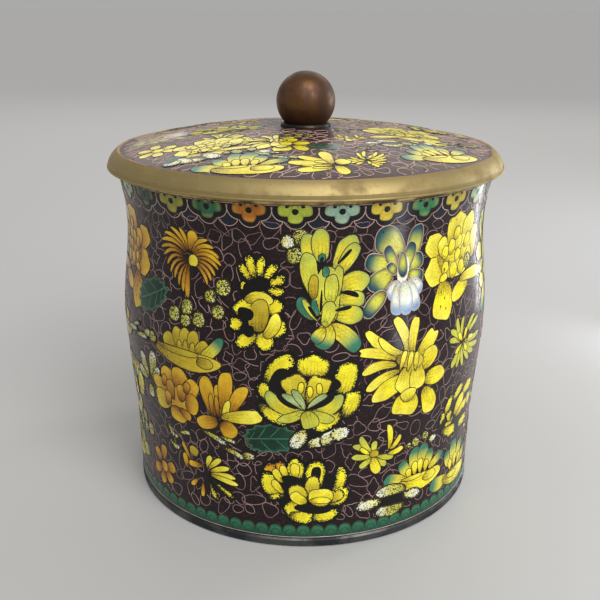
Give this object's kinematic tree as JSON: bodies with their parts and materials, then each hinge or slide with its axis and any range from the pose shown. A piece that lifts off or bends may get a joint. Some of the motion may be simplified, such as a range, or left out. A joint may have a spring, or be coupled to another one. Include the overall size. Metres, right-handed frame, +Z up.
{
  "type": "lidded cloisonne jar",
  "caption": "Round lidded jar with a gently waisted enamelled wall, overhanging domed lid with a locating flange and ball knob; lid lifts straight off.",
  "frame": {"origin": "centre of the foot ring's resting plane, on the jar's axis", "axes": "+Z up along the jar's axis through the ball knob; -Y towards the richest side of the decoration, +X to its right"},
  "size_m": [0.14, 0.14, 0.1502],
  "materials": {
    "foot_metal": "dark patinated turned brass, polished on its shoulder",
    "copper": "spun copper, satin",
    "ground_enamel": "dark aubergine glass enamel, ground and polished",
    "counter_enamel": "turquoise counter-enamel, glossy with slight orange-peel",
    "counter_enamel_floor": "turquoise counter-enamel, glossy",
    "copper_base": "rolled copper, satin",
    "counter_enamel_base": "turquoise counter-enamel, glossy",
    "mouth_metal": "turned brass, satin",
    "copper_dome": "spun copper, satin",
    "dome_ground_enamel": "brownish purple glass enamel, ground and polished",
    "counter_enamel_dome": "turquoise counter-enamel, glossy",
    "rim_brass": "antique brass, brushed round",
    "flange_brass": "turned brass, satin",
    "collar_bronze": "dark bronze, polished edge",
    "knob_bronze": "dark brown bronze patina, soft polish",
    "stud_brass": "threaded brass rod",
    "washer_brass": "stamped brass",
    "nut_brass": "machined brass"
  },
  "bodies": {
    "jar": {"foot_ring": "foot_metal", "wall_shell": "copper", "wall_enamel": "ground_enamel", "wall_lining": "counter_enamel", "floor_enamel": "counter_enamel_floor", "base_plate": "copper_base", "base_enamel": "counter_enamel_base", "mouth_ring": "mouth_metal"},
    "lid": {"dome_shell": "copper_dome", "dome_enamel": "dome_ground_enamel", "dome_lining": "counter_enamel_dome", "lid_rim": "rim_brass", "lid_flange": "flange_brass", "knob_collar": "collar_bronze", "knob_ball": "knob_bronze", "knob_stud": "stud_brass", "knob_washer": "washer_brass", "knob_nut": "nut_brass"}
  },
  "joints": [
    {"name": "lid_lift", "type": "slide", "parent": "jar", "child": "lid", "axis": [0, 0, 1], "range_m": [0, 0.08]}
  ]
}
